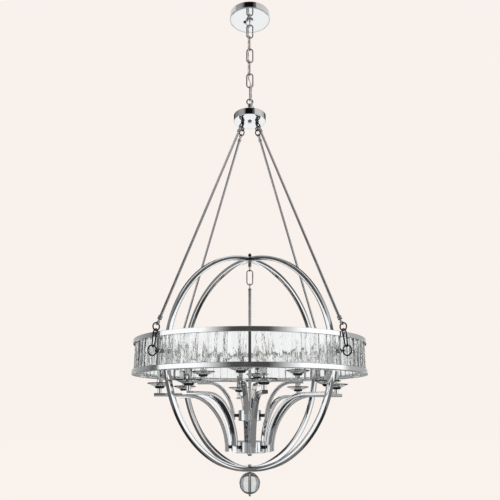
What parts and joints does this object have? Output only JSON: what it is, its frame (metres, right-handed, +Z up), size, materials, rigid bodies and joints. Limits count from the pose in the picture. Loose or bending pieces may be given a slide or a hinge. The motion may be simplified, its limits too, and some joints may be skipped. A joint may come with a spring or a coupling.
{
  "type": "chandelier",
  "caption": "Chrome chandelier with a drum of crystal bars round two crossed hoops, hung by four rods and a chain, with two tiers of candle lamps and a glass ball",
  "frame": {"origin": "on the ceiling, at the middle of the mounting strap and canopy", "axes": "+Z up, out of the canopy into the ceiling; +X to the right of someone facing the front; -Y to the front"},
  "size_m": [0.8129, 0.813, 1.8737],
  "materials": {
    "chrome": "polished",
    "dark_chrome": "polished",
    "zinc": "satin",
    "crystal": "clear",
    "clear_cord": "translucent",
    "black_plastic": "matte",
    "bulb_glass": "clear"
  },
  "bodies": {
    "ceiling": {"ceiling_strap": "zinc", "nipple": "zinc", "strap_locknut": "zinc", "canopy": "chrome", "canopy_collar": "chrome", "canopy_loop": "chrome", "canopy_bushing": "black_plastic", "power_cord": "clear_cord"},
    "link_1": {"chain_link_1": "chrome"},
    "link_2": {"chain_link_2": "chrome"},
    "link_3": {"chain_link_3": "chrome"},
    "link_4": {"chain_link_4": "chrome"},
    "link_5": {"chain_link_5": "chrome"},
    "link_6": {"chain_link_6": "chrome"},
    "hoop_frame": {"hub_loop": "chrome", "hub_bushing": "black_plastic", "hub_housing": "chrome", "hub_cover": "chrome", "hub_cap_nut": "chrome", "hub_eyes": "dark_chrome", "eye_locknuts": "zinc", "rod_top_rings": "dark_chrome", "front_left_rod": "chrome", "front_right_rod": "chrome", "back_left_rod": "chrome", "back_right_rod": "chrome", "rod_bottom_rings": "dark_chrome", "pear_links": "dark_chrome", "hoop_studs": "dark_chrome", "stud_nuts": "chrome", "stud_spacers": "dark_chrome", "hoop_a": "chrome", "hoop_b": "chrome", "drum_top_band": "chrome", "drum_bottom_band": "chrome", "drum_posts": "dark_chrome", "post_pins": "chrome", "crystal_bars": "crystal", "crown_nut": "dark_chrome", "crown_loop": "chrome", "ball_rod": "chrome", "ball_rod_nut": "chrome", "glass_ball": "crystal", "ball_tip": "chrome"},
    "inner_link": {"crown_link": "chrome"},
    "stem_hook": {"stem_loop": "chrome"},
    "candelabra": {"stem": "chrome", "stem_nut": "chrome", "upper_hub": "chrome", "lower_hub": "chrome", "arm_spacers": "dark_chrome", "upper_arms": "chrome", "lower_arms": "chrome", "candle_stubs": "dark_chrome", "drip_cups": "chrome", "glass_saucers": "crystal", "sleeve_seats": "chrome", "candle_sleeves": "chrome", "lamp_sockets": "black_plastic", "bulbs": "bulb_glass"}
  },
  "joints": [
    {"name": "chain_joint_0", "type": "hinge", "parent": "ceiling", "child": "link_1", "pos_m": [0, 0, -0.056], "axis": [0, 1, 0], "range_deg": [-20, 20]},
    {"name": "chain_joint_1", "type": "hinge", "parent": "link_1", "child": "link_2", "pos_m": [0, 0, -0.1138], "axis": [1, 0, 0], "range_deg": [-20, 20]},
    {"name": "chain_joint_2", "type": "hinge", "parent": "link_2", "child": "link_3", "pos_m": [0, 0, -0.1716], "axis": [0, 1, 0], "range_deg": [-20, 20]},
    {"name": "chain_joint_3", "type": "hinge", "parent": "link_3", "child": "link_4", "pos_m": [0, 0, -0.2294], "axis": [1, 0, 0], "range_deg": [-20, 20], "deforming": ["power_cord"]},
    {"name": "chain_joint_4", "type": "hinge", "parent": "link_4", "child": "link_5", "pos_m": [0, 0, -0.2872], "axis": [0, 1, 0], "range_deg": [-20, 20]},
    {"name": "chain_joint_5", "type": "hinge", "parent": "link_5", "child": "link_6", "pos_m": [0, 0, -0.345], "axis": [1, 0, 0], "range_deg": [-20, 20]},
    {"name": "chain_joint_6", "type": "hinge", "parent": "link_6", "child": "hoop_frame", "pos_m": [0, 0, -0.4028], "axis": [0, 1, 0], "range_deg": [-20, 20]},
    {"name": "inner_link_swing", "type": "hinge", "parent": "hoop_frame", "child": "inner_link", "pos_m": [0, 0, -1.1071], "axis": [0, 1, 0], "range_deg": [-0.7, 0.7]},
    {"name": "stem_swing", "type": "hinge", "parent": "inner_link", "child": "stem_hook", "pos_m": [0, 0, -1.1584], "axis": [1, 0, 0], "range_deg": [-0.7, 0.7]},
    {"name": "candelabra_turn", "type": "hinge", "parent": "stem_hook", "child": "candelabra", "pos_m": [0, 0, -1.1821], "axis": [0, 0, 1], "range_deg": [0, 29]}
  ]
}
